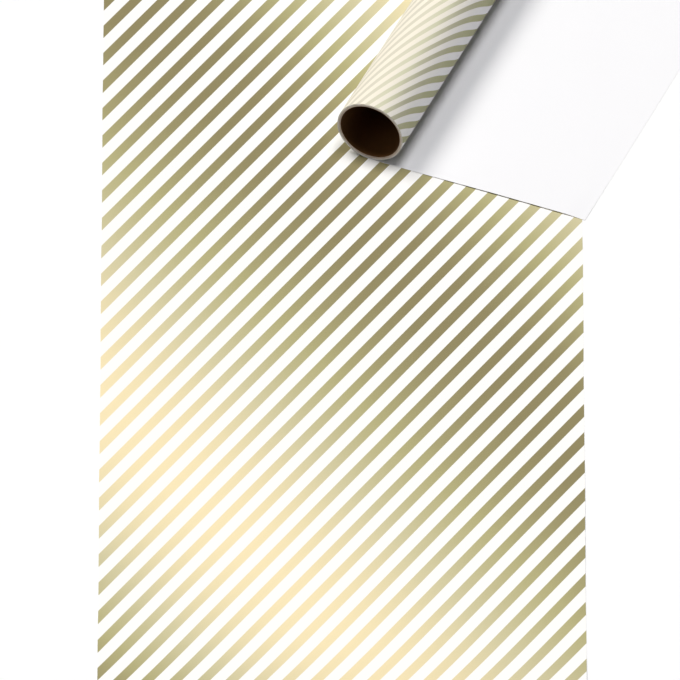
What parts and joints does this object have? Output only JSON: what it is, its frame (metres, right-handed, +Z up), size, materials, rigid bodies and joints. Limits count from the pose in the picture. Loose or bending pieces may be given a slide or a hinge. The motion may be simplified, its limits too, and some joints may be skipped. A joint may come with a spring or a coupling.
{
  "type": "wrapping paper roll",
  "caption": "Partly unrolled roll of diagonally striped gift wrap on a hollow board core, its free web lying reverse side up over a flat cut sheet.",
  "frame": {"origin": "middle of the core's bore, on its axis and half way along the roll", "axes": "+Y along the roll's axis to its far end, +X the way the free web leaves the roll, +Z up from the table"},
  "size_m": [0.547, 1.2418, 0.0442],
  "materials": {
    "core_liner": "matt dark kraft",
    "core_board": "matt grey-brown board",
    "tape": "clear double-sided tape",
    "printed_paper": "white paper with narrow gold diagonal stripes",
    "plain_reverse": "plain white uncoated reverse",
    "printed_sheet": "white paper with wide gold diagonal stripes"
  },
  "bodies": {
    "web": {"free_web": "plain_reverse"},
    "lift_off": {"web_lift": "printed_paper"},
    "roll": {"core_inner_ply": "core_liner", "core_middle_ply": "core_board", "core_outer_ply": "core_board", "start_tape": "tape", "wound_paper": "printed_paper"},
    "cut_sheet": {"cut_sheet": "printed_sheet"}
  },
  "joints": [
    {"name": "roll_travel", "type": "slide", "parent": "web", "child": "lift_off", "axis": [1, 0, 0], "range_m": [0, 0.13], "deforming": ["free_web"]},
    {"name": "roll_spin", "type": "hinge", "parent": "lift_off", "child": "roll", "pos_m": [0, 0, 0], "axis": [0, 1, 0], "range_deg": [0, 338.58]},
    {"name": "sheet_slide", "type": "slide", "parent": "web", "child": "cut_sheet", "axis": [0.3899, -0.9208, 0], "range_m": [0, 0.25]}
  ],
  "couplings": [
    {"joint": "roll_spin", "follows": "roll_travel", "rad_per_m": 45.455}
  ]
}
